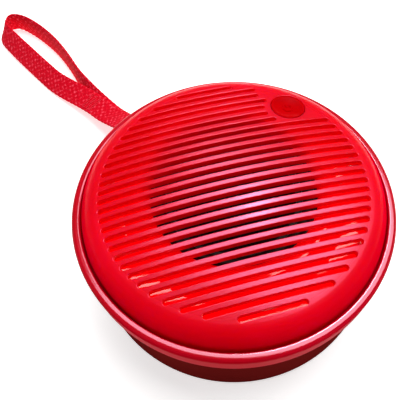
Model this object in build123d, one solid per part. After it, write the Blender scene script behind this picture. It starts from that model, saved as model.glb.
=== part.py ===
from build123d import *
import math
import os

# Palm-size round wireless speaker. Millimetres, +Z up, origin at the middle of the face it rests on.
# +X runs along the grille slots, +Y points away from the user, to the side that the strap leaves by.

# ---- driving dimensions ----
ring_outer_r = 43.0
lip_z = 32.0  # top edge of the trim ring
ring_h = 6.6
ring_inner_r = 40.7
ledge_z = 28.4  # shelf inside the ring, where the dome and the baffle stand
ledge_t = 1.8
ledge_inner_r = 32.8

body_r = 42.5
wall = 2.0
body_bottom_z = 0.8
body_corner = 2.2
tongue_top_z = 26.1
tongue_r = 41.35
seal_t = 0.5

dome_edge_r = 40.1
dome_rise = 8.4  # apex above the lip
dome_wall = 1.8
shoulder_r = 5.5
shoulder_drop = 0.5  # shoulder's centre below the lip

slot_count = 26
slot_pitch = 2.705
slot_w = 1.45
slot_field_r = 34.8
slot_round = 0.16

button_x = 21.7
button_y = 21.8
button_r = 4.8
button_gap = 0.15
button_margin = 1.0  # plain grille left between a slot's end and the button
button_travel = 0.4
dish_depth = 0.75

aperture_r = 21.9
baffle_rim_z = 36.4
baffle_r = 38.0
baffle_t = 1.6
baffle_step_r = 29.6  # foot of the step from the rim down to the flat
driver_seat_z = 34.2
well_size = (9.2, 15.6, 4.4)  # room for the power switch's board
well_wall = 0.8

boss_angles = (5, 64, 155, 205, 270, 325)
boss_at_r = 35.6
boss_r = 2.6
screw_r = 1.0
screw_hole_r = 1.3
head_r = 1.95
head_h = 1.3

frame_r = 25.0
frame_top_z = 33.6
frame_t = 1.2
gasket_inner_r = 23.8
cone_outer_r = 17.8
cone_edge_z = 32.0
cone_neck_z = 28.2
spider_seat_r = 14.2
spider_seat_h = 2.2  # above the top plate
spider_t = 0.24
coil_r = 9.25  # inside of the voice coil former
gap_r = 10.3
pole_r = 8.9
magnet_r = 18.0
plate_r = 17.0
yoke_z = 12.0
yoke_t = 2.5
magnet_h = 7.0
top_plate_t = 3.0

board_z = 5.0
board_t = 1.2
board_w = 23.0
board_y = (6.0, 36.0)
port_w = 9.0
port_h = 3.2
port_len = 7.4
port_wall_gap = 0.3

battery_size = (44.0, 30.0, 6.0)
battery_y = -13.0
floor_z = body_bottom_z + wall
pad_t = 0.5

foot_inner_r = 30.0
foot_outer_r = 36.0
foot_h = 1.6

strap_angle = 116.0
strap_exit_z = 15.0
strap_tube_r = 1.6
strap_slot = (9.0, 3.6)
clamp_face_r = 38.6
clamp_size = (5.1, 11.0, 6.8)
seam_size = (4.0, 7.2, 3.4)
indicator_x = 8.2
post_x = 9.0  # board posts, either side of the middle
wire_r = 0.6
thin_wire_r = 0.4

# Middle line of the wrist strap: out through the wall, down onto the table, once round the loop and back to
# the sewn joint where the loop closes.
strap_route = [
    (-16.92, 34.69, 15.0),
    (-20.6, 42.24, 15.0),
    (-24.2, 49.0, 12.2),
    (-28.2, 56.3, 7.6),
    (-32.6, 64.0, 4.0),
    (-36.8, 72.6, 2.8),
    (-39.6, 82.4, 3.8),
    (-42.8, 95.4, 4.7),
    (-47.0, 108.4, 4.8),
    (-53.2, 119.4, 4.7),
    (-59.8, 127.2, 4.5),
    (-66.2, 129.8, 4.1),
    (-68.8, 124.6, 3.4),
    (-65.4, 115.6, 2.7),
    (-60.2, 105.2, 2.4),
    (-54.4, 95.2, 2.4),
    (-49.4, 87.0, 2.4),
    (-46.0, 79.4, 2.2),
]


def at_angle(r, degrees, z=0.0):
    a = math.radians(degrees)
    return (r * math.cos(a), r * math.sin(a), z)


def tube(r_in, r_out, z_low, z_high):
    """Ring between two radii and two heights."""
    ring = Pos(0, 0, z_low) * Cylinder(r_out, z_high - z_low, align=(Align.CENTER, Align.CENTER, Align.MIN))
    bore = Pos(0, 0, z_low) * Cylinder(r_in, z_high - z_low, align=(Align.CENTER, Align.CENTER, Align.MIN))
    return ring - bore


def rod(x, y, r, z_low, z_high):
    return Pos(x, y, z_low) * Cylinder(r, z_high - z_low, align=(Align.CENTER, Align.CENTER, Align.MIN))


def block(x, y, z, sx, sy, sz):
    """Box from its lowest z, centred in x and y."""
    return Pos(x, y, z) * Box(sx, sy, sz, align=(Align.CENTER, Align.CENTER, Align.MIN))


def turned(points):
    """Solid of revolution from an outline of (radius, z) points."""
    outline = Plane.XZ * make_face(Polyline(*points, close=True))
    return revolve(outline, Axis.Z)


def arc_points(r_centre, z_centre, r, start, end, steps):
    """Points on an arc of the turned outline, from one angle to another in degrees."""
    out = []
    for i in range(steps + 1):
        a = math.radians(start + (end - start) * i / steps)
        out.append((r_centre + r * math.cos(a), z_centre + r * math.sin(a)))
    return out


# ---- dome: a shallow spherical cap that turns down over a round shoulder ----
def dome_body(inset, z_low):
    """Solid under the dome's outer surface moved in by inset, down to z_low."""
    sr = shoulder_r - inset
    centre_r = dome_edge_r - shoulder_r
    centre_z = lip_z - shoulder_drop
    apex = lip_z + dome_rise - inset
    rise = apex - sr - centre_z
    cap = (centre_r**2 + rise**2) / (2 * rise) + sr
    cap_z = apex - cap
    tilt = math.asin(centre_r / (cap - sr))
    join = (centre_r + sr * math.sin(tilt), centre_z + sr * math.cos(tilt))
    middle_cap = (cap * math.sin(tilt / 2), cap_z + cap * math.cos(tilt / 2))
    half = (math.pi / 2 + tilt) / 2
    middle_shoulder = (centre_r + sr * math.sin(half), centre_z + sr * math.cos(half))
    edge = (dome_edge_r - inset, centre_z)
    outline = [
        ThreePointArc((0, apex), middle_cap, join),
        ThreePointArc(join, middle_shoulder, edge),
        Line(edge, (edge[0], z_low)),
        Line((edge[0], z_low), (0, z_low)),
        Line((0, z_low), (0, apex)),
    ]
    return revolve(Plane.XZ * make_face(outline), Axis.Z)


def slot_ends(s):
    """Ends in x of the slot whose middle line is y = s; those beside the button stop short of it."""
    reach = math.sqrt(slot_field_r**2 - s**2)
    clear = button_r + button_gap + button_margin
    if abs(s - button_y) < clear:
        return (-reach, button_x - math.sqrt(clear**2 - (s - button_y) ** 2) - slot_w / 2)
    if s > button_y:
        return (-reach, min(reach, button_x - clear - 1.0))
    return (-reach, reach)


def grille_dome():
    shell = dome_body(0, ledge_z) - dome_body(dome_wall, ledge_z)
    first = -(slot_count - 1) / 2 * slot_pitch
    cutters = []
    for i in range(slot_count):
        s = first + i * slot_pitch
        x0, x1 = slot_ends(s)
        face = Pos((x0 + x1) / 2, s) * SlotOverall(x1 - x0, slot_w)
        cutters.append(Pos(0, 0, lip_z) * extrude(face, dome_rise + 2))
    cutters.append(rod(button_x, button_y, button_r + button_gap, lip_z, lip_z + dome_rise + 2))
    shell = shell - cutters
    edges = [e for e in shell.edges() if is_slot_edge(e)]
    return fillet(edges, slot_round)


def is_slot_edge(e):
    """Edge of an opening on the dome's outer surface."""
    p = e @ 0.5
    r = math.hypot(p.X, p.Y)
    if r > slot_field_r + 0.5 or p.Z < lip_z + 3:
        return False
    return p.Z > surface_z(r) - 0.3


def surface_z(r):
    """Height of the dome's outer surface at a radius inside the shoulder."""
    rise = dome_rise - shoulder_r + shoulder_drop
    cap = ((dome_edge_r - shoulder_r) ** 2 + rise**2) / (2 * rise) + shoulder_r
    return lip_z + dome_rise - cap + math.sqrt(cap**2 - r**2)


# ---- housing ----
def top_ring():
    outer = [
        (ledge_inner_r, ledge_z - ledge_t),
        (tongue_r + 0.1, ledge_z - ledge_t),
        (tongue_r + 0.1, lip_z - ring_h),
        (ring_outer_r - 0.4, lip_z - ring_h),
        (ring_outer_r, lip_z - ring_h + 0.4),
    ]
    outer += arc_points(ring_outer_r - 1.2, lip_z - 1.2, 1.2, 0, 90, 8)
    outer += arc_points(ring_inner_r + 0.5, lip_z - 0.5, 0.5, 90, 180, 5)
    outer += [(ring_inner_r, ledge_z), (ledge_inner_r, ledge_z)]
    ring = turned(outer)
    for a in boss_angles:
        x, y, _ = at_angle(boss_at_r, a)
        ring -= rod(x, y, screw_hole_r, ledge_z - ledge_t - 1, ledge_z + 1)
    return ring


def lower_housing():
    outer = [(0, body_bottom_z), (body_r - body_corner, body_bottom_z)]
    outer += arc_points(body_r - body_corner, body_bottom_z + body_corner, body_corner, -90, 0, 6)[1:]
    outer += [
        (body_r, lip_z - ring_h - 0.1),
        (tongue_r, lip_z - ring_h - 0.1),
        (tongue_r, tongue_top_z),
        (body_r - wall, tongue_top_z),
    ]
    inner_r = body_r - wall
    outer += arc_points(inner_r - 1.2, floor_z + 1.2, 1.2, 0, -90, 4)
    outer += [(0, floor_z)]
    shell = turned(outer)
    # groove for the foot ring
    shell -= tube(foot_inner_r, foot_outer_r, body_bottom_z - 1, body_bottom_z + foot_h / 2)
    for a in boss_angles:
        x, y, _ = at_angle(boss_at_r, a)
        boss = rod(x, y, boss_r, floor_z - 0.5, ledge_z - ledge_t)
        rib = Rot(0, 0, a) * block(boss_at_r + 3.1, 0, floor_z - 0.5, 4.2, 1.6, 22.0)
        shell = shell + boss + rib
        shell -= rod(x, y, screw_r, ledge_z - ledge_t - 9, ledge_z)
    for x in (-post_x, post_x):
        for y in (board_y[0] + 3, board_y[1] - 9):
            shell += rod(x, y, 2.2, floor_z - 0.5, board_z)
            shell -= rod(x, y, 0.75, floor_z + 0.1, board_z + 1)
    # charging port, indicator and strap go through the wall
    port_z = board_z + board_t + port_h / 2
    shell -= port_cutter(port_w + 2 * port_wall_gap, port_h + 2 * port_wall_gap, port_z)
    shell -= Pos(indicator_x, 0, port_z) * Rot(-90, 0, 0) * Cylinder(1.0, 60, align=(Align.CENTER, Align.CENTER, Align.MIN))
    slot = Pos(body_r - 1, 0, strap_exit_z) * Box(8, *strap_slot)
    shell -= Rot(0, 0, strap_angle) * slot
    # the strap clamp stands on a post inside the wall, under the slot
    clamp_low = strap_exit_z - clamp_size[2] / 2
    post = block(clamp_face_r - 2.6, 0, floor_z - 0.5, 5.0, 5.0, clamp_low - floor_z + 0.5)
    post += block(39.2, 0, floor_z - 0.5, 3.0, 3.0, clamp_low - floor_z + 0.5)
    shell += Rot(0, 0, strap_angle) * post
    pilot = rod(clamp_face_r - 2.6, 0, 0.75, clamp_low - 6, strap_exit_z)
    shell -= Rot(0, 0, strap_angle) * pilot
    return shell


def port_cutter(w, h, z):
    """Rounded opening through the rear wall."""
    face = Plane.XZ * (Pos(0, z) * RectangleRounded(w, h, h / 2 - 0.01))
    return extrude(face, -60)


def housing_seal():
    return tube(body_r - wall + 0.05, tongue_r - 0.05, tongue_top_z, tongue_top_z + seal_t)


def foot_ring():
    ring = tube(foot_inner_r + 0.05, foot_outer_r - 0.05, 0, body_bottom_z + foot_h / 2)
    low = [e for e in ring.edges() if (e @ 0).Z < 0.1 and (e @ 0.5).Z < 0.1]
    return fillet(low, 0.35)


# ---- baffle ----
def inner_baffle():
    flat_z = ledge_z + baffle_t
    step_r = baffle_step_r
    outline = [
        (aperture_r, driver_seat_z),
        (step_r - 4.2, driver_seat_z),
        (step_r - 4.2, frame_top_z - 0.6),
        (step_r - 3.0, frame_top_z - 0.6),
        (step_r - 1.2, ledge_z),
        (baffle_r, ledge_z),
        (baffle_r, flat_z),
        (step_r, flat_z),
        (step_r - 0.4, flat_z + 0.25),
        (step_r - 3.6, baffle_rim_z - 0.6),
        (step_r - 4.0, baffle_rim_z - 0.15),
        (step_r - 4.6, baffle_rim_z),
        (aperture_r + 0.4, baffle_rim_z),
        (aperture_r, baffle_rim_z - 0.4),
    ]
    baffle = turned(outline)
    for a in boss_angles:
        x, y, _ = at_angle(boss_at_r, a)
        baffle -= rod(x, y, screw_hole_r, ledge_z - 1, ledge_z + 3)
        baffle -= rod(x, y, head_r + 0.3, ledge_z + baffle_t, ledge_z + 8)
    # well for the power switch under the button
    r = math.hypot(button_x, button_y)
    turn = math.degrees(math.atan2(button_y, button_x))
    well = block(r, 0, ledge_z, *well_size)
    pocket = block(r, 0, ledge_z + 1.0, well_size[0] - 2 * well_wall, well_size[1] - 2 * well_wall, 12.0)
    stem_room = rod(r, 0, button_r + 1.1, 33.9, 45)
    well = Rot(0, 0, turn) * well
    well &= tube(26.2, 37.9, ledge_z, ledge_z + 10)
    baffle = baffle + well - Rot(0, 0, turn) * pocket - Rot(0, 0, turn) * stem_room
    return baffle - rod(*well_hole(), 1.2, ledge_z - 1, ledge_z + 2)


def screw(x, y, head_z, shank_end_z, shank_r, r, h):
    """Pan-head screw pointing down, with a cross recess."""
    head = rod(x, y, r, head_z, head_z + h)
    head = fillet(head.edges().sort_by(Axis.Z)[-1:], 0.4 * h)
    cross = block(x, y, head_z + h * 0.45, 1.9 * r * 0.6, 0.35, h)
    cross += block(x, y, head_z + h * 0.45, 0.35, 1.9 * r * 0.6, h)
    return head + rod(x, y, shank_r, shank_end_z, head_z) - cross


def baffle_screws():
    out = []
    for a in boss_angles:
        x, y, _ = at_angle(boss_at_r, a)
        out.append(screw(x, y, ledge_z + baffle_t, ledge_z - 8, screw_r - 0.02, head_r, head_h))
    return Compound(out)


# ---- button and its switch ----
def power_button():
    """Cap that follows the dome, dished, with a raised power symbol; its flange stays under the grille."""
    cap = rod(button_x, button_y, button_r, 34.6, 45) & dome_body(0, ledge_z)
    r = math.hypot(button_x, button_y)
    tilt = math.degrees(math.asin(r / 183.3))
    turn = math.degrees(math.atan2(button_y, button_x))
    rim = button_r - 0.35
    bowl_r = (rim**2 + dish_depth**2) / (2 * dish_depth)
    top = surface_z(r)
    place = Pos(button_x, button_y, top) * Rot(0, 0, turn) * Rot(0, tilt, 0)
    cap -= place * Pos(0, 0, bowl_r - dish_depth) * Sphere(bowl_r)
    ring = CenterArc((0, 0), 1.25, 125, 290)
    mark = trace(Plane.XY * ring, 0.34) + Rectangle(0.34, 1.3).moved(Location((0, 1.15, 0)))
    icon = place * Pos(0, 0, -dish_depth - 0.4) * Rot(0, 0, -turn) * extrude(mark, 0.62)
    flange = rod(button_x, button_y, button_r + 0.7, 34.6, 35.3) & dome_body(dome_wall + 0.1, ledge_z)
    stem = rod(button_x, button_y, 1.5, 32.8, 34.7)
    return cap + icon + flange + stem


def button_board():
    r = math.hypot(button_x, button_y)
    turn = math.degrees(math.atan2(button_y, button_x))
    fit = 2 * well_wall + 0.4
    return Rot(0, 0, turn) * block(r, 0, ledge_z + 1.0, well_size[0] - fit, well_size[1] - fit, 1.0)


def power_switch():
    r = math.hypot(button_x, button_y)
    turn = math.degrees(math.atan2(button_y, button_x))
    case = block(0, 0, 0, 5.2, 5.2, 1.6) - rod(0, 0, 1.1, 0.9, 3)
    for sx in (-1, 1):
        for sy in (-1, 1):
            case += block(sx * 2.85, sy * 1.6, 0, 0.7, 0.8, 0.3)
    return Rot(0, 0, turn) * Pos(r, 0, ledge_z + 2.0) * case


def switch_plunger():
    return rod(button_x, button_y, 0.9, ledge_z + 3.4, 32.8)


# ---- driver ----
def driver_frame():
    """Stamped basket: flange, open cone with windows, and the ring that sits on the top plate."""
    plate_z = yoke_z + yoke_t + magnet_h + top_plate_t
    outline = [
        (spider_seat_r, plate_z),
        (plate_r, plate_z),
        (plate_r + 0.6, plate_z + 0.9),
        (23.9, frame_top_z - frame_t - 1.0),
        (23.9, frame_top_z - frame_t),
        (frame_r, frame_top_z - frame_t),
        (frame_r, frame_top_z),
        (21.8, frame_top_z),
        (21.8, frame_top_z - frame_t - 0.3),
        (17.6, plate_z + spider_seat_h),
        (spider_seat_r, plate_z + spider_seat_h),
    ]
    basket = turned(outline)
    for i in range(6):
        basket -= Rot(0, 0, 60 * i + 25) * block(22.0, 0, plate_z + 2.9, 9.0, 12.5, 3.4)
    return basket


def driver_terminal():
    """Insulated strip with two solder tags, hanging from the basket's flange."""
    low = frame_top_z - frame_t - 3.8
    strip = block(0, 24.55, low, 9.0, 1.2, 3.8)
    for x in (-2.5, 2.5):
        strip += block(x, 25.5, low + 0.6, 1.6, 0.8, 1.6)
    return strip


def driver_gasket():
    return tube(gasket_inner_r, frame_r - 0.1, frame_top_z, driver_seat_z)


def driver_yoke():
    bottom = rod(0, 0, plate_r, yoke_z, yoke_z + yoke_t)
    pole = rod(0, 0, pole_r, yoke_z, yoke_z + yoke_t + magnet_h + top_plate_t)
    vent = rod(0, 0, 2.5, yoke_z - 1, 40)
    return bottom + pole - vent


def driver_magnet():
    return tube(11.5, magnet_r, yoke_z + yoke_t, yoke_z + yoke_t + magnet_h)


def top_plate():
    low = yoke_z + yoke_t + magnet_h
    return tube(gap_r, plate_r, low, low + top_plate_t)


def voice_coil():
    former = tube(coil_r, coil_r + 0.25, 20.5, cone_neck_z)
    winding = tube(coil_r + 0.25, coil_r + 0.65, 20.8, 25.0)
    return former + winding


def cone():
    """Thin paper cone with a gently curved flare and a flat lip for the surround."""
    upper = []
    lower = []
    span = cone_outer_r - 1.4 - (coil_r + 0.25)
    for i in range(9):
        t = i / 8
        r = coil_r + 0.25 + span * t
        z = cone_neck_z - 0.9 + (cone_edge_z - cone_neck_z + 0.9) * t**0.8
        upper.append((r, z))
        lower.append((r, z - 0.45))
    outline = upper + [(cone_outer_r, cone_edge_z), (cone_outer_r, cone_edge_z - 0.45)]
    return turned(outline + lower[::-1])


def dust_cap():
    """Domed cap closing the coil, standing on the cone."""
    rim = coil_r + 1.6
    z0 = 29.4
    rise = 2.4
    ball = (rim**2 + rise**2) / (2 * rise)
    half = math.degrees(math.asin(rim / ball))
    outer = arc_points(0, z0 + rise - ball, ball, 90, 90 - half, 8)
    inner = arc_points(0, z0 + rise - ball, ball - 0.35, 90 - half, 90, 8)
    return turned(outer + inner)


def surround():
    """Half-roll rubber edge from the cone's lip to the frame."""
    z_in = cone_edge_z
    z_out = frame_top_z
    mid = 19.65
    roll = 1.55
    upper = [(16.6, z_in + 0.4), (mid - roll, z_in + 0.4)]
    upper += arc_points(mid, z_in + 0.9, roll + 0.15, 180, 0, 10)[1:-1]
    upper += [(mid + roll + 0.3, z_out + 0.4), (23.6, z_out + 0.4)]
    lower = [(23.6, z_out), (mid + roll, z_out)]
    lower += arc_points(mid, z_in + 0.7, roll - 0.25, 0, 180, 10)[1:-1]
    lower += [(mid - roll, z_in), (16.6, z_in)]
    return turned(upper + lower)


def spider():
    """Corrugated ring that centres the coil."""
    z_out = yoke_z + yoke_t + magnet_h + top_plate_t + spider_seat_h + spider_t / 2
    z_in = z_out - 1.5
    inner_r = coil_r + 0.28
    outer_r = 17.2
    n = 24
    upper = []
    lower = []
    for i in range(n + 1):
        t = i / n
        r = inner_r + (outer_r - inner_r) * t
        flat_r = spider_seat_r - 0.5
        if r < flat_r:
            s = (r - inner_r) / (flat_r - inner_r)
            z = z_in + (z_out - z_in) * s + 0.3 * math.sin(2 * math.pi * 3 * s) * min(1, 8 * s * (1 - s))
        else:
            z = z_out
        upper.append((r, z + spider_t / 2))
        lower.append((r, z - spider_t / 2))
    return turned(upper + lower[::-1])


# ---- electronics ----
def battery_pad():
    return block(0, battery_y, floor_z, battery_size[0] - 6, battery_size[1] - 6, pad_t)


def battery_cell():
    cell = block(0, battery_y, floor_z + pad_t, *battery_size)
    return fillet(cell.edges().filter_by(Axis.X), 2.2)


def main_board():
    y0, y1 = board_y
    board = block(0, (y0 + y1) / 2, board_z, board_w, y1 - y0, board_t)
    for x in (-post_x, post_x):
        for y in (y0 + 3, y1 - 9):
            board -= rod(x, y, 1.05, board_z - 1, board_z + board_t + 1)
    return board


def board_screws():
    out = []
    for x in (-post_x, post_x):
        for y in (board_y[0] + 3, board_y[1] - 9):
            out.append(screw(x, y, board_z + board_t, floor_z + 0.6, 0.73, 1.7, 1.0))
    return Compound(out)


def board_chips():
    z = board_z + board_t
    return Compound([
        block(-3.0, 19.0, z, 5.0, 5.0, 0.9),
        block(4.6, 16.4, z, 4.0, 3.0, 1.0),
        block(4.4, 22.4, z, 4.0, 4.0, 1.6),
        block(-3.4, 26.4, z, 2.2, 1.3, 0.8),
        block(1.2, 28.0, z, 1.3, 2.2, 0.8),
    ])


def bluetooth_module():
    z = board_z + board_t
    return block(-1.5, 11.2, z, 11.0, 5.6, 0.8) + block(-0.6, 11.0, z + 0.8, 7.6, 4.4, 1.0)


def board_sockets():
    """Plug sockets for the battery, speaker and button leads."""
    z = board_z + board_t
    battery = block(9.2, 15.6, z, 4.4, 4.6, 2.6)
    speaker = block(-9.2, 17.6, z, 4.4, 5.6, 2.6)
    button = block(9.2, 23.0, z, 4.2, 4.0, 2.6)
    return Compound([battery, speaker, button])


def usb_port():
    z = board_z + board_t + port_h / 2
    y1 = body_r - 1.0
    shell = extrude(Plane.XZ * (Pos(0, z) * RectangleRounded(port_w, port_h, port_h / 2 - 0.01)), -port_len)
    hollow = extrude(Plane.XZ * (Pos(0, z) * RectangleRounded(port_w - 0.6, port_h - 0.6, port_h / 2 - 0.32)), -6.4)
    tongue = Pos(0, 3.6, z) * Box(6.7, 5.6, 0.7)
    shell = Pos(0, y1 - port_len, 0) * (shell - Pos(0, port_len - 6.4, 0) * hollow + tongue)
    return shell


def indicator_light():
    """Clear pipe that carries the charging light through the wall."""
    z = board_z + board_t + port_h / 2
    stub = Pos(indicator_x, 35.2, z) * Rot(-90, 0, 0) * Cylinder(0.95, 6.4, align=(Align.CENTER, Align.CENTER, Align.MIN))
    return stub + block(indicator_x, 34.6, board_z + board_t, 2.4, 1.6, 2.6)


# ---- wires ----
def run_along(points, r):
    """Round wire or cord along straight runs joined by the largest arcs that the runs allow."""
    vectors = [Vector(*p) for p in points]
    radii = []
    for a, b, c in zip(vectors, vectors[1:], vectors[2:]):
        turn = math.radians((b - a).get_angle(c - b))
        shorter = min((b - a).length, (c - b).length)
        radii.append(0.45 * shorter / math.tan(turn / 2))
    line = FilletPolyline(*points, radius=radii)
    start = Plane(origin=line @ 0, z_dir=line % 0)
    solid = sweep(start * Circle(r), path=line)
    return solid, line.length, radii


def speaker_wires():
    out = []
    for x, plug_x in ((-2.5, -10.1), (2.5, -8.3)):
        points = [(x, 25.8, 29.2), (x, 25.8, 26.2), (x - 1.6, 28.6, 21.0), (plug_x + 1.2, 30.8, 15.0)]
        points += [(plug_x, 27.6, 9.2), (plug_x, 24.2, 7.4), (plug_x, 20.4, 7.4)]
        out.append(run_along(points, wire_r)[0])
    return Compound(out)


def battery_wires():
    out = []
    for x, plug_x in ((5.6, 8.4), (8.0, 10.2)):
        points = [(x, 2.0, 6.6), (x, 3.6, 6.6), (plug_x - 0.4, 6.8, 8.7), (plug_x, 10.6, 8.1), (plug_x, 13.3, 8.1)]
        out.append(run_along(points, wire_r)[0])
    return Compound(out)


def button_wires():
    """Two thin leads from the button board, through the well's floor and down to the main board."""
    hole = well_hole()
    z = ledge_z + 1.0
    out = []
    for side in (-0.5, 0.5):
        x, y = hole[0] + side, hole[1]
        points = [(x, y, z), (x, y, 25.4), (x - 1.2, y + 2.1, 18.5), (12.2 + side, 30.3, 12.0)]
        points += [(9.6 + side, 31.4, 8.9), (9.2 + side, 28.6, 7.9), (9.2 + side, 25.0, 7.9)]
        out.append(run_along(points, thin_wire_r)[0])
    return Compound(out)


def well_hole():
    """Where the button's leads pass through the floor of its well."""
    turn = math.atan2(button_y, button_x)
    r = math.hypot(button_x, button_y) - 1.9
    side = 5.5
    return (r * math.cos(turn) - side * math.sin(turn), r * math.sin(turn) + side * math.cos(turn))


# ---- strap ----
def strap_clamp():
    """Moulded block that holds the strap's end behind the wall."""
    body = Pos(clamp_face_r - 2.6, 0, strap_exit_z) * Box(*clamp_size)
    body -= rod(clamp_face_r - 2.6, 0, 1.05, 0, 40)
    body -= rod(clamp_face_r - 2.6, 0, 2.0, strap_exit_z + 2.0, 40)
    return Rot(0, 0, strap_angle) * body


def strap_clamp_screw():
    x, y, _ = at_angle(clamp_face_r - 2.6, strap_angle)
    return screw(x, y, strap_exit_z + 2.0, strap_exit_z - 8.0, 0.73, 1.8, 1.1)


def strap_loop():
    solid, length, radii = run_along(strap_route, strap_tube_r)
    section = math.pi * strap_tube_r**2
    print("strap length", round(length, 1), "volume / (section x length)", round(solid.volume / section / length, 4))
    print("strap radii", [round(r, 1) for r in radii])
    return solid


def strap_seam():
    """Bar of stitching that closes the loop against the strap's own neck."""
    return Pos(-43.0, 79.8, 2.3) * Rot(0, 0, 119) * Box(*seam_size)


makers = [
    grille_dome, top_ring, lower_housing, housing_seal, foot_ring, inner_baffle, baffle_screws,
    power_button, button_board, power_switch, switch_plunger,
    driver_frame, driver_terminal, driver_gasket, driver_yoke, driver_magnet, top_plate,
    voice_coil, cone, dust_cap, surround, spider,
    battery_pad, battery_cell, main_board, board_screws, board_chips, bluetooth_module, board_sockets,
    usb_port, indicator_light, speaker_wires, battery_wires, button_wires,
    strap_clamp, strap_clamp_screw, strap_loop, strap_seam,
]

os.makedirs("parts", exist_ok=True)
for make in makers:
    export_step(make(), f"parts/{make.__name__}.step")
    print(make.__name__)
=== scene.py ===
import math

import bpy
import numpy as np
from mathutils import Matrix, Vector


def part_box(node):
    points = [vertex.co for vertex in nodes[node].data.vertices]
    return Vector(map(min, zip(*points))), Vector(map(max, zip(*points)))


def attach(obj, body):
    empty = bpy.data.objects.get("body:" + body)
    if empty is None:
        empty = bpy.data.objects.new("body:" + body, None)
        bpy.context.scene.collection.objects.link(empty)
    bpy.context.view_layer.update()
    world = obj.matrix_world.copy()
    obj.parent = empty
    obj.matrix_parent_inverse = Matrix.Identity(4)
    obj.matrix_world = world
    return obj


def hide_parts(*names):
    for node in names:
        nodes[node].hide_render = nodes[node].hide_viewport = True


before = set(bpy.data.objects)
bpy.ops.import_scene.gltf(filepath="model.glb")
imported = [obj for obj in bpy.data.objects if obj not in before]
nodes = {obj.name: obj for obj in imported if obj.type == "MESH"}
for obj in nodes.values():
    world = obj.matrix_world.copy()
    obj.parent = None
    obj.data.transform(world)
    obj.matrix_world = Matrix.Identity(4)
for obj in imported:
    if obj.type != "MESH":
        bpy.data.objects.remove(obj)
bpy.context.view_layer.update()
mm = 0.001
ringLow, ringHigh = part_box("top_ring")
lipZ = ringHigh.z  # top edge of the trim ring

cameraSet = {
    "aim": (-1.8 * mm, -6.7 * mm, lipZ),  # the middle ray meets the lip's plane here
    "azimuth": -15.05,
    "elevation": 61.27,
    "distance": 116.0 * mm,
    "lens": 40.27,
    "sensor": 36.0,
    "shift": (-0.085, 0.05),
    "clip": (0.005, 20.0),
}
lightSet = {
    # name: (azimuth, elevation, distance, width, height, watts, shows in reflections)
    "softBoxBehind": (140, 70, 0.50, 0.50, 0.36, 3.0, True),
    "smallLamp": (150, 64, 0.60, 0.10, 0.06, 0.75, True),
    "fillLeft": (-95, 42, 0.60, 0.3, 0.3, 0.24, False),
}
roomSet = {"colour": (1.0, 0.99, 0.985), "strength": 0.05}
floorSet = {
    "half": 3.0,
    "colour": (0.93, 0.925, 0.92),
    "roughness": 0.8,
    "level": 0.1,
    "glow": 0.66,  # keeps the pale floor pale right up to the body
}


def fromAngles(azimuth, elevation):
    # unit vector (sin a cos e, -cos a cos e, sin e) towards azimuth a and elevation e
    a, e = math.radians(azimuth), math.radians(elevation)
    return Vector((math.sin(a) * math.cos(e), -math.cos(a) * math.cos(e), math.sin(e)))


def addCamera():
    data = bpy.data.cameras.new("camera")
    camera = bpy.data.objects.new("camera", data)
    bpy.context.scene.collection.objects.link(camera)
    back = fromAngles(cameraSet["azimuth"], cameraSet["elevation"])
    camera.location = Vector(cameraSet["aim"]) + back * cameraSet["distance"]
    camera.rotation_mode = "QUATERNION"
    camera.rotation_quaternion = (-back).to_track_quat("-Z", "Y")
    data.lens = cameraSet["lens"]
    data.sensor_width = cameraSet["sensor"]
    data.shift_x, data.shift_y = cameraSet["shift"]
    data.clip_start, data.clip_end = cameraSet["clip"]
    bpy.context.scene.camera = camera


def addLights():
    for name, (azimuth, elevation, distance, width, height, watts, mirrored) in lightSet.items():
        data = bpy.data.lights.new(name, "AREA")
        data.shape = "RECTANGLE"
        data.size, data.size_y = width, height
        data.energy = watts
        lamp = bpy.data.objects.new(name, data)
        bpy.context.scene.collection.objects.link(lamp)
        towards = fromAngles(azimuth, elevation)
        lamp.location = Vector((0, 0, lipZ)) + towards * distance
        lamp.rotation_mode = "QUATERNION"
        lamp.rotation_quaternion = (-towards).to_track_quat("-Z", "Y")
        lamp.visible_glossy = mirrored
    world = bpy.data.worlds.new("room")
    world.use_nodes = True
    world.node_tree.nodes["Background"].inputs[0].default_value = (*roomSet["colour"], 1)
    world.node_tree.nodes["Background"].inputs[1].default_value = roomSet["strength"]
    bpy.context.scene.world = world
    bpy.context.scene.view_settings.view_transform = "Standard"


def addFloor():
    half = floorSet["half"]
    mesh = bpy.data.meshes.new("floor")
    corners = [(-half, -half, 0), (half, -half, 0), (half, half, 0), (-half, half, 0)]
    mesh.from_pydata(corners, [], [(0, 1, 2, 3)])
    floor = bpy.data.objects.new("floor", mesh)
    bpy.context.scene.collection.objects.link(floor)
    mat = bpy.data.materials.new("paleFloor")
    mat.use_nodes = True
    shader = mat.node_tree.nodes["Principled BSDF"]
    shader.inputs["Base Color"].default_value = (*floorSet["colour"], 1)
    shader.inputs["Roughness"].default_value = floorSet["roughness"]
    shader.inputs["Specular IOR Level"].default_value = floorSet["level"]
    shader.inputs["Emission Color"].default_value = (1, 1, 1, 1)
    shader.inputs["Emission Strength"].default_value = floorSet["glow"]
    mesh.materials.append(mat)


addCamera()
addLights()
addFloor()
print("camera, lights and floor")


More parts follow.
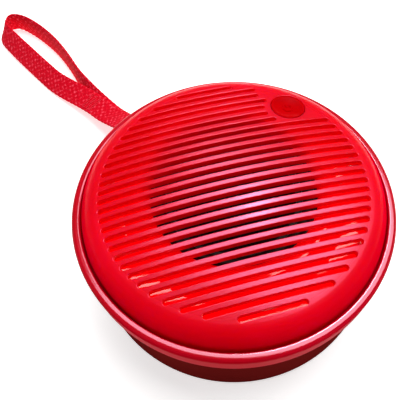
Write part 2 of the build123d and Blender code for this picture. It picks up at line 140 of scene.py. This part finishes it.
# one material's node tree, with short calls for the nodes that repeat
class Recipe:
    def __init__(self, name, **values):
        self.mat = bpy.data.materials.new(name)
        self.mat.use_nodes = True
        self.tree = self.mat.node_tree
        self.shader = self.tree.nodes["Principled BSDF"]
        self.coords = self.tree.nodes.new("ShaderNodeTexCoord")
        for key, value in values.items():
            self.set(key.replace("_", " "), value)

    def set(self, key, value):
        self.shader.inputs[key].default_value = value

    def link(self, a, b):
        self.tree.links.new(a, b)

    def node(self, kind, **values):
        made = self.tree.nodes.new(kind)
        for key, value in values.items():
            setattr(made, key, value)
        return made

    def noise(self, scale, detail=3.0, rough=0.55, source=None):
        made = self.node("ShaderNodeTexNoise")
        made.inputs["Scale"].default_value = scale
        made.inputs["Detail"].default_value = detail
        made.inputs["Roughness"].default_value = rough
        self.link(source or self.coords.outputs["Object"], made.inputs["Vector"])
        return made.outputs["Fac"]

    def mapRange(self, value, low, high, toLow, toHigh, **kind):
        made = self.node("ShaderNodeMapRange", **kind)
        for key, number in zip(("From Min", "From Max", "To Min", "To Max"), (low, high, toLow, toHigh)):
            made.inputs[key].default_value = number
        self.link(value, made.inputs["Value"])
        return made.outputs["Result"]

    def mixColour(self, factor, a, b):
        made = self.node("ShaderNodeMix", data_type="RGBA")
        self.link(factor, made.inputs[0])
        for socket, colour in ((made.inputs[6], a), (made.inputs[7], b)):
            if hasattr(colour, "is_linked"):
                self.link(colour, socket)
            else:
                socket.default_value = (*colour, 1)
        return made.outputs[2]

    def maths(self, kind, a, b=None):
        made = self.node("ShaderNodeMath", operation=kind)
        for socket, value in ((made.inputs[0], a), (made.inputs[1], b)):
            if value is None:
                continue
            if isinstance(value, (int, float)):
                socket.default_value = value
            else:
                self.link(value, socket)
        return made.outputs[0]

    def bump(self, height, strength, distance):
        made = self.node("ShaderNodeBump")
        made.inputs["Strength"].default_value = strength
        made.inputs["Distance"].default_value = distance
        self.link(height, made.inputs["Height"])
        self.link(made.outputs["Normal"], self.shader.inputs["Normal"])


violet = (1.0, 0.50, 0.88)  # cast of the sheen on the red
plainRed = (1.0, 0.06, 0.12)
# rough: least and most roughness; grain: spark-eroded grains per metre and their depth;
# level and tint: of the sheen; seep: weight and depth of the light inside the plastic;
# glow: painted glow, emission that stands in for light that scatters about inside the red shell
plasticSet = {
    "redShell": {
        "dark": (0.70, 0.0, 0.009),
        "light": (0.78, 0.0004, 0.015),
        "grain": (5200.0, 0.00002),
        "polish": {"low": 0.0034, "high": 0.0058, "level": (0.0, 0.9), "rough": (0.36, 0.25), "tint": violet},
        "seep": (0.8, 0.0026),
        "glow": 0.06,
    },
    "redRing": {
        "dark": (0.53, 0.0, 0.008),
        "light": (0.61, 0.0, 0.013),
        "grain": (5200.0, 0.000015),
        "polish": {
            "low": -0.0004,
            "high": -0.00005,
            "level": (0.006, 1.0),
            "rough": (0.4, 0.14),
            "tint": (1.0, 0.7, 0.9),
        },
    },
    "redButton": {
        "dark": (0.48, 0.0, 0.001),
        "light": (0.54, 0.0, 0.002),
        "rough": (0.30, 0.38),
        "grain": (5200.0, 0.00002),
        "level": 0.02,
        "tint": violet,
        "seep": (0.5, 0.0016),
    },
    "redBaffle": {
        "dark": (0.95, 0.0, 0.0),
        "light": (0.99, 0.0004, 0.001),
        "rough": (0.03, 0.06),
        "grain": (900.0, 0.000004),
        "level": 0.6,
        "seep": (0.6, 0.003),
        "glow": 0.34,
    },
    "maroonShell": {
        "dark": (0.115, 0.0065, 0.006),
        "light": (0.145, 0.0085, 0.0075),
        "rough": (0.5, 0.6),
        "grain": (3800.0, 0.00004),
        "level": 0.0,
        "tint": plainRed,
    },
    "footRubber": {
        "dark": (0.012, 0.012, 0.012),
        "light": (0.03, 0.03, 0.03),
        "rough": (0.6, 0.8),
        "grain": (3000.0, 0.00005),
    },
    "blackMoulding": {
        "dark": (0.010, 0.010, 0.011),
        "light": (0.02, 0.02, 0.022),
        "rough": (0.4, 0.5),
        "grain": (3500.0, 0.00003),
    },
    "whiteMoulding": {
        "dark": (0.72, 0.70, 0.64),
        "light": (0.8, 0.79, 0.74),
        "rough": (0.4, 0.5),
        "grain": (3000.0, 0.00002),
    },
    "blackSteel": {
        "dark": (0.012, 0.012, 0.013),
        "light": (0.022, 0.022, 0.024),
        "rough": (0.35, 0.5),
        "grain": (2600.0, 0.00003),
    },
    "batteryWrap": {
        "dark": (0.03, 0.07, 0.26),
        "light": (0.05, 0.11, 0.36),
        "rough": (0.18, 0.3),
        "grain": (500.0, 0.00004),
    },
    "wireRed": {
        "dark": (0.45, 0.008, 0.008),
        "light": (0.6, 0.02, 0.02),
        "rough": (0.35, 0.45),
        "grain": (1500.0, 0.00002),
    },
    "ferrite": {
        "dark": (0.03, 0.03, 0.033),
        "light": (0.06, 0.06, 0.064),
        "rough": (0.5, 0.7),
        "grain": (2200.0, 0.00008),
    },
    "rollRubber": {
        "dark": (0.004, 0.002, 0.003),
        "light": (0.009, 0.005, 0.008),
        "rough": (0.4, 0.5),
        "grain": (2500.0, 0.00002),
        "level": 0.12,
    },
    "boardGreen": {
        "dark": (0.008, 0.09, 0.03),
        "light": (0.012, 0.14, 0.05),
        "rough": (0.25, 0.35),
        "grain": (1200.0, 0.00003),
    },
}
driftSet = {
    "scale": 28.0,
    "smudge": 90.0,
    "smudgeShare": 0.7,
    "grainShare": 0.3,
    "span": (0.35, 0.65),
    "bump": 0.35,
}
seepRadius = (1.0, 0.03, 0.04)
paintedGlowColour = (1.0, 0.0, 0.004, 1)


def polishAbove(r, low, high, level, rough, tint):
    # gloss that rises smoothly from matt to polished between two heights over the lip, while the
    # sheen's cast goes from plain red to the tint
    split = r.node("ShaderNodeSeparateXYZ")
    r.link(r.coords.outputs["Object"], split.inputs[0])
    mask = r.mapRange(split.outputs[2], lipZ + low, lipZ + high, 0.0, 1.0, interpolation_type="SMOOTHSTEP")
    for socket, (matt, polished) in (("Specular IOR Level", level), ("Roughness", rough)):
        r.link(r.mapRange(mask, 0.0, 1.0, matt, polished), r.shader.inputs[socket])
    r.link(r.mixColour(mask, plainRed, tint), r.shader.inputs["Specular Tint"])


def mouldedPlastic(name, dark, light, grain, rough=None, level=0.5, tint=(1, 1, 1),
                   polish=None, seep=None, glow=0.0):
    # slow colour drift, fine grain in the bump, and roughness that wanders with smudges and grain
    r = Recipe(name)
    low, high = driftSet["span"]
    drift = r.mapRange(r.noise(driftSet["scale"], 2.0), low, high, 0.0, 1.0)
    r.link(r.mixColour(drift, dark, light), r.shader.inputs["Base Color"])
    fine = r.noise(grain[0], 2.0, 0.6)
    r.bump(fine, driftSet["bump"], grain[1])
    if polish:
        polishAbove(r, **polish)
    else:
        smudge = r.maths("MULTIPLY", r.noise(driftSet["smudge"], 4.0, 0.6), driftSet["smudgeShare"])
        both = r.maths("ADD", smudge, r.maths("MULTIPLY", fine, driftSet["grainShare"]))
        r.link(r.mapRange(both, low, high, *rough), r.shader.inputs["Roughness"])
        r.set("Specular IOR Level", level)
        r.set("Specular Tint", (*tint, 1))
    if seep:
        r.set("Subsurface Weight", seep[0])
        r.set("Subsurface Radius", seepRadius)
        r.set("Subsurface Scale", seep[1])
    # painted glow: emission in place of light scattered inside the red plastic, which brightens the slots and
    # the baffle
    if glow:
        r.set("Emission Color", paintedGlowColour)
        r.set("Emission Strength", glow)
    return r.mat


metalSet = {
    "zincSteel": {"dark": (0.45, 0.45, 0.43), "light": (0.72, 0.72, 0.7), "rough": 0.3, "streak": 600.0},
    "screwSteel": {"dark": (0.5, 0.5, 0.5), "light": (0.75, 0.74, 0.72), "rough": 0.22, "streak": 600.0},
    "copperWire": {"dark": (0.5, 0.2, 0.07), "light": (0.75, 0.36, 0.16), "rough": 0.3, "streak": 2500.0},
}
streakSet = {"stretch": (1.0, 1.0, 0.08), "span": (0.3, 0.7), "rough": (0.75, 1.3), "bump": (0.15, 0.00002)}


def metal(name, dark, light, rough, streak):
    # plated or pressed metal: fine streaks carry the tone, the roughness and a slight bump
    r = Recipe(name, Metallic=1.0)
    stretch = r.node("ShaderNodeMapping")
    stretch.inputs["Scale"].default_value = streakSet["stretch"]
    r.link(r.coords.outputs["Object"], stretch.inputs["Vector"])
    streaks = r.noise(streak, 3.0, 0.6, stretch.outputs["Vector"])
    r.link(r.mixColour(streaks, dark, light), r.shader.inputs["Base Color"])
    least, most = (rough * part for part in streakSet["rough"])
    r.link(r.mapRange(streaks, *streakSet["span"], least, most), r.shader.inputs["Roughness"])
    r.bump(streaks, *streakSet["bump"])
    return r.mat


clothSet = {
    "blackFoam": {"dark": (0.01, 0.01, 0.01), "light": (0.035, 0.035, 0.035), "scale": 600.0, "depth": 0.0001},
    "spiderCloth": {"dark": (0.35, 0.2, 0.06), "light": (0.6, 0.4, 0.15), "scale": 900.0, "depth": 0.00006},
    "thread": {
        "dark": (0.75, 0.0, 0.015),
        "light": (0.98, 0.03, 0.08),
        "scale": 3000.0,
        "depth": 0.00003,
        "rough": 0.6,
    },
}
fuzzSet = {"scale": 2500.0, "distortion": 0.6, "weaveShare": 0.6, "fuzzShare": 0.4, "bump": 0.6}


def clothLike(name, dark, light, scale, depth, rough=0.9):
    # foam, dipped cloth or thread: two crossed waves over a fine noise
    r = Recipe(name, Roughness=rough)
    waves = []
    for axis in ("X", "Y"):
        wave = r.node("ShaderNodeTexWave", bands_direction=axis)
        wave.inputs["Scale"].default_value = scale
        wave.inputs["Distortion"].default_value = fuzzSet["distortion"]
        r.link(r.coords.outputs["Object"], wave.inputs["Vector"])
        waves.append(wave.outputs["Fac"])
    weave = r.maths("MULTIPLY", r.maths("MULTIPLY", waves[0], waves[1]), fuzzSet["weaveShare"])
    fuzz = r.maths("MULTIPLY", r.noise(fuzzSet["scale"], 2.0), fuzzSet["fuzzShare"])
    height = r.maths("ADD", weave, fuzz)
    r.link(r.mixColour(height, dark, light), r.shader.inputs["Base Color"])
    r.bump(height, fuzzSet["bump"], depth)
    return r.mat


pulpSet = {
    "dark": (0.002, 0.0015, 0.002),
    "light": (0.006, 0.004, 0.006),
    "fibres": 1400.0,
    "broad": 220.0,
    "rough": (0.55, 0.75),
    "level": 0.05,
    "bump": (0.5, 0.00006),
}
clearSet = {
    "dark": (0.9, 0.93, 0.95),
    "light": (1.0, 1.0, 1.0),
    "haze": 800.0,
    "roughness": 0.12,
    "index": 1.49,
    "weight": 0.85,
}


def pulpMaterial():
    # coated paper: felted fibres at two scales
    r = Recipe("conePulp")
    r.set("Specular IOR Level", pulpSet["level"])
    fibres = r.noise(pulpSet["fibres"], 6.0, 0.7)
    broad = r.noise(pulpSet["broad"], 3.0)
    r.link(r.mixColour(fibres, pulpSet["dark"], pulpSet["light"]), r.shader.inputs["Base Color"])
    r.link(r.mapRange(broad, 0.3, 0.7, *pulpSet["rough"]), r.shader.inputs["Roughness"])
    r.bump(fibres, *pulpSet["bump"])
    return r.mat


def clearMaterial():
    # light pipe: clear plastic with a faint haze
    r = Recipe("clearPipe", Roughness=clearSet["roughness"], IOR=clearSet["index"])
    r.set("Transmission Weight", clearSet["weight"])
    haze = r.noise(clearSet["haze"], 3.0)
    r.link(r.mixColour(haze, clearSet["dark"], clearSet["light"]), r.shader.inputs["Base Color"])
    return r.mat


made = {name: mouldedPlastic(name, **values) for name, values in plasticSet.items()}
made.update({name: metal(name, **values) for name, values in metalSet.items()})
made.update({name: clothLike(name, **values) for name, values in clothSet.items()})
made["conePulp"] = pulpMaterial()
made["clearPipe"] = clearMaterial()
finishes = {
    "redShell": ["grille_dome"],
    "redButton": ["power_button"],
    "redRing": ["top_ring"],
    "redBaffle": ["inner_baffle"],
    "maroonShell": ["lower_housing"],
    "footRubber": ["foot_ring"],
    "blackFoam": ["housing_seal", "driver_gasket", "battery_pad"],
    "screwSteel": ["baffle_screws", "board_screws", "strap_clamp_screw"],
    "boardGreen": ["main_board", "button_board"],
    "blackMoulding": ["power_switch", "switch_plunger", "driver_terminal", "board_chips", "strap_clamp"],
    "blackSteel": ["driver_frame"],
    "zincSteel": ["driver_yoke", "top_plate", "bluetooth_module", "usb_port"],
    "ferrite": ["driver_magnet"],
    "copperWire": ["voice_coil"],
    "conePulp": ["cone", "dust_cap"],
    "rollRubber": ["surround"],
    "spiderCloth": ["spider"],
    "batteryWrap": ["battery_cell"],
    "whiteMoulding": ["board_sockets"],
    "clearPipe": ["indicator_light"],
    "wireRed": ["speaker_wires", "battery_wires", "button_wires"],
}
for finish, names in finishes.items():
    for name in names:
        slots = nodes[name].data.materials
        if not len(slots):
            slots.append(made[finish])
        for i in range(len(slots)):
            slots[i] = made[finish]
print("materials on the CAD pieces")

strapSet = {
    # lengths in mm
    "width": 8.5,
    "thickness": 1.05,
    "resolution": 24,
    "step": 0.28,  # between rings
    "around": 72,
    "rib": 1.15,  # one yarn crossing
    "ribHeight": 0.07,
    "squareness": (8.0, 3.2),  # of the section's corners, across and through
    "edgeWave": 0.012,  # part of the width that the selvedge swells by at each yarn
    "plyGap": 0.08,  # half the gap between the two layers of the neck
    "turnSpan": 9.0,  # over which a turn of the band is eased
    "spread": (0.0, 0.0, 0.4, 0.9, 1.4, 1.6),  # how far the upper layer of the neck moves sideways
    "spreadSide": (0.89, 0.45, 0.0),
    "underShift": 20.0,  # keeps the underside's weave apart from the top's
}
# the webbing's turn about its path, in degrees, at fractions of the whole length: it lies flat at the
# neck, stands on edge along the far side of the loop, and comes down flat again at the neck
turnSet = {
    0.0: 0.0,
    0.16: 2.0,
    0.22: 50.0,
    0.27: 80.0,
    0.34: 82.0,
    0.42: 83.0,
    0.47: 88.0,
    0.495: 106.0,
    0.515: 122.0,
    0.54: 134.0,
    0.6: 142.0,
    0.7: 142.0,
    0.77: 158.0,
    0.85: 180.0,
    1.0: 180.0,
}
# the CAD tube's points, in mm, some moved by up to 3 mm: neck, round the loop, to the seam
strapRoute = [
    (-16.92, 34.69, 15.0),
    (-20.6, 42.24, 15.0),
    (-23.6, 49.7, 12.2),
    (-27.0, 57.0, 7.9),
    (-31.2, 64.6, 4.6),
    (-35.8, 72.8, 3.9),
    (-39.6, 82.6, 4.4),
    (-43.2, 95.2, 4.8),
    (-47.8, 106.9, 4.9),
    (-54.3, 117.9, 4.9),
    (-60.6, 125.6, 4.8),
    (-65.8, 128.2, 4.6),
    (-70.0, 122.8, 4.3),
    (-65.5, 114.4, 3.7),
    (-59.9, 104.5, 3.3),
    (-54.4, 94.8, 3.2),
    (-49.6, 86.6, 3.0),
    (-45.6, 79.6, 2.8),
]
neckCount = 6  # route points before the loop opens
weaveSet = {
    # noises: scale per mm, detail and roughness
    "wanderNoise": (0.5, 2.0, 0.5),
    "wander": 2.2,  # radians that the yarns stray by
    "yarnNoise": (2.2, 4.0, 0.7),
    "yarnSpan": (0.3, 0.7),
    "yarnMost": 0.9,
    "fleckNoise": (0.8, 3.0, 0.65),
    # how much of the yarn crossings goes into the tone, the flecks and the bump
    "toneShare": 0.16,
    "fleckShare": 0.10,
    "bumpShare": 0.4,
    "dark": (0.56, 0.0, 0.007),
    "light": (0.90, 0.003, 0.026),
    "fleck": (1.0, 0.09, 0.15),
    "fleckSpan": (0.55, 0.72),
    "fleckMost": 0.9,
    "roughness": 0.8,
    "level": 0.05,
    "sheen": 0.06,
    "sheenRough": 0.5,
    "sheenTint": (1.0, 0.3, 0.4, 1.0),
    "bump": (0.5, 0.00012),
}
stitchSet = {
    # lengths in mm
    "count": 10,
    "rows": 3,
    "radius": 0.13,
    "reach": 1.5,
    "crown": 0.09,  # height of each arc of thread
    "tip": 1.02,  # leaves a small round end on each stitch
    "lift": 0.02,
    "pitch": 0.66,
    "rowPitch": 1.9,
    "place": 0.79,  # fraction of the webbing's length
    "along": 9,
    "around": 8,
}


def splinePoints(points, resolution):
    # points in mm along a NURBS of order 3 with these control points
    data = bpy.data.curves.new("route", "CURVE")
    data.dimensions = "3D"
    data.resolution_u = resolution
    spline = data.splines.new("NURBS")
    spline.points.add(len(points) - 1)
    for target, p in zip(spline.points, points):
        target.co = (p[0] * mm, p[1] * mm, p[2] * mm, 1.0)
    spline.order_u = 3
    spline.use_endpoint_u = True
    holder = bpy.data.objects.new("route", data)
    bpy.context.scene.collection.objects.link(holder)
    mesh = bpy.data.meshes.new_from_object(holder)
    out = np.empty(len(mesh.vertices) * 3)
    mesh.vertices.foreach_get("co", out)
    bpy.data.objects.remove(holder)
    bpy.data.curves.remove(data)
    bpy.data.meshes.remove(mesh)
    return out.reshape(-1, 3) / mm


def evenly(points, step):
    # the same line with points a fixed step apart, by linear interpolation over its length
    length = np.concatenate([[0], np.cumsum(np.linalg.norm(np.diff(points, axis=0), axis=1))])
    at = np.linspace(0, length[-1], int(length[-1] / step) + 1)
    return np.stack([np.interp(at, length, points[:, k]) for k in range(3)], 1), at


def unit(v):
    # each row scaled to length one
    return v / np.linalg.norm(v, axis=1, keepdims=True)


def closedTube(name, rings, uv=None):
    # mesh from rings of points (count, around, 3) in mm, its two ends closed by one face each
    count, around = rings.shape[:2]
    i, j = np.meshgrid(np.arange(count - 1), np.arange(around), indexing="ij")
    k = (j + 1) % around
    quads = np.stack([i * around + j, i * around + k, (i + 1) * around + k, (i + 1) * around + j], -1)
    faces = quads.reshape(-1, 4).tolist()
    faces.append(list(range(around))[::-1])
    faces.append(list(range((count - 1) * around, count * around)))
    mesh = bpy.data.meshes.new(name)
    mesh.from_pydata((rings.reshape(-1, 3) * mm).tolist(), [], faces)
    if uv is not None:
        layer = mesh.uv_layers.new(name="weave")
        index = np.empty(len(mesh.loops), np.int32)
        mesh.loops.foreach_get("vertex_index", index)
        layer.data.foreach_set("uv", uv.reshape(-1, 2)[index].ravel())
    mesh.validate()
    mesh.shade_smooth()
    piece = bpy.data.objects.new(name, mesh)
    bpy.context.scene.collection.objects.link(piece)
    return piece


def webbingMaterial():
    # woven polyester: yarn crossings sin(u) sin(v) from the piece's own map in mm, with paler flecks
    w = weaveSet
    r = Recipe("webbing", Roughness=w["roughness"])
    uv = r.coords.outputs["UV"]
    split = r.node("ShaderNodeSeparateXYZ")
    r.link(uv, split.inputs[0])
    turn = math.pi / strapSet["rib"]
    wander = r.maths("MULTIPLY", r.noise(*w["wanderNoise"], uv), w["wander"])
    along = r.maths("SINE", r.maths("ADD", r.maths("MULTIPLY", split.outputs[0], turn), wander))
    across = r.maths("SINE", r.maths("ADD", r.maths("MULTIPLY", split.outputs[1], turn), wander))
    checks = r.maths("MULTIPLY", along, across)
    yarn = r.noise(*w["yarnNoise"], uv)
    fleck = r.noise(*w["fleckNoise"], uv)
    fibres = r.mapRange(yarn, *w["yarnSpan"], 0.0, w["yarnMost"])
    tone = r.maths("ADD", r.maths("MULTIPLY", checks, w["toneShare"]), fibres)
    base = r.mixColour(tone, w["dark"], w["light"])
    speckle = r.maths("ADD", fleck, r.maths("MULTIPLY", checks, w["fleckShare"]))
    pale = r.mapRange(speckle, *w["fleckSpan"], 0.0, w["fleckMost"])
    r.link(r.mixColour(pale, base, w["fleck"]), r.shader.inputs["Base Color"])
    r.bump(r.maths("ADD", r.maths("MULTIPLY", checks, w["bumpShare"]), yarn), *w["bump"])
    r.set("Specular IOR Level", w["level"])
    r.set("Sheen Weight", w["sheen"])
    r.set("Sheen Roughness", w["sheenRough"])
    r.set("Sheen Tint", w["sheenTint"])
    return r.mat


def makeStrap():
    # one webbing: lower layer of the neck, round the loop, upper layer of the neck. Its section is a
    # superellipse, width * |cos|^(2/p) by thickness * |sin|^(2/q), turned about the path by turnSet,
    # with ribs sin(pi s / rib) sin(pi x / rib) on both faces that fade at the selvedge
    s = strapSet
    route = np.array(strapRoute)
    gap = np.array([0, 0, s["thickness"] / 2 + s["plyGap"]])
    # the upper layer slides off the lower one as they near the loop
    slide = np.outer(s["spread"], s["spreadSide"])
    lower = route[:neckCount] - gap
    upper = (route[:neckCount] + gap - slide)[::-1]
    whole = np.concatenate([lower, route[neckCount:-1], upper])
    path, at = evenly(splinePoints(whole, s["resolution"]), s["step"])
    tangent = unit(np.gradient(path, axis=0))
    flatSide = unit(np.cross(tangent, [0, 0, 1.0]))
    upSide = unit(np.cross(flatSide, tangent))
    turn = np.radians(np.interp(at / at[-1], list(turnSet), list(turnSet.values())))
    window = int(s["turnSpan"] / s["step"]) | 1
    padded = np.pad(turn, window // 2, mode="edge")
    turn = np.convolve(padded, np.ones(window) / window, mode="valid")
    wide = np.cos(turn)[:, None] * flatSide + np.sin(turn)[:, None] * upSide
    out = unit(np.cross(tangent, wide))
    phi = np.linspace(0, 2 * math.pi, s["around"], endpoint=False)
    acrossPower, throughPower = (2 / q for q in s["squareness"])
    c = np.sign(np.cos(phi)) * np.abs(np.cos(phi)) ** acrossPower
    d = np.sign(np.sin(phi)) * np.abs(np.sin(phi)) ** throughPower
    across = c * s["width"] / 2
    rib = np.sin(math.pi * at[:, None] / s["rib"]) * np.sin(math.pi * across[None] / s["rib"])
    fade = np.clip(np.abs(d), 0, 1) ** 0.5
    thick = (s["thickness"] / 2 * d)[None] + s["ribHeight"] * rib * (np.sign(d) * fade)[None]
    edge = 1 + s["edgeWave"] * np.sin(2 * math.pi * at / (2 * s["rib"]))
    sideways = (across[None] * edge[:, None])[..., None] * wide[:, None]
    rings = path[:, None] + sideways + thick[..., None] * out[:, None]
    underside = np.where(d < 0, s["underShift"], 0.0)
    uv = np.stack(np.broadcast_arrays(at[:, None], (across + underside)[None]), -1)
    strap = closedTube("wristStrap", rings, uv)
    strap.data.materials.append(webbingMaterial())
    return strap, (path, at, tangent, wide, out)


def makeStitching(frames):
    # bar tack where the loop closes: rows of thread arcs across the upper layer. Each arc rises by
    # crown * (1 - t^2) and its radius is radius * sqrt(tip - t^4), with t from -1 to 1 along it
    s = stitchSet
    path, at, tangent, wide, out = frames
    t = np.linspace(-1, 1, s["along"])
    a = np.linspace(0, 2 * math.pi, s["around"], endpoint=False)
    c, d = np.cos(a)[None, :, None], np.sin(a)[None, :, None]
    face = strapSet["thickness"] / 2 + s["lift"]
    pieces = []
    for row in range(s["rows"]):
        k = int(np.searchsorted(at, at[-1] * s["place"] + row * s["rowPitch"]))
        along, side, up = tangent[k], wide[k], out[k]
        if up[2] < 0:
            up = -up
        for i in range(s["count"]):
            place = path[k] + up * face + side * (i - (s["count"] - 1) / 2) * s["pitch"]
            line = place + np.outer(t * 0.5 * s["reach"], along) + np.outer(s["crown"] * (1 - t**2), up)
            r = s["radius"] * np.sqrt(np.clip(s["tip"] - t**4, 0, 1))[:, None, None]
            rings = line[:, None] + r * (c * np.cross(along, up) + d * up)
            pieces.append(closedTube(f"stitch{row}_{i}", rings))
    bpy.ops.object.select_all(action="DESELECT")
    for p in pieces:
        p.select_set(True)
    bpy.context.view_layer.objects.active = pieces[0]
    bpy.ops.object.join()
    thread = bpy.context.view_layer.objects.active
    thread.name = "strapStitching"
    thread.data.materials.append(made["thread"])
    return thread


strap, strapFrames = makeStrap()
stitching = makeStitching(strapFrames)
strapCentre = splinePoints(strapRoute, strapSet["resolution"])
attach(strap, "enclosure")
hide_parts("strap_loop")
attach(stitching, "enclosure")
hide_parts("strap_seam")
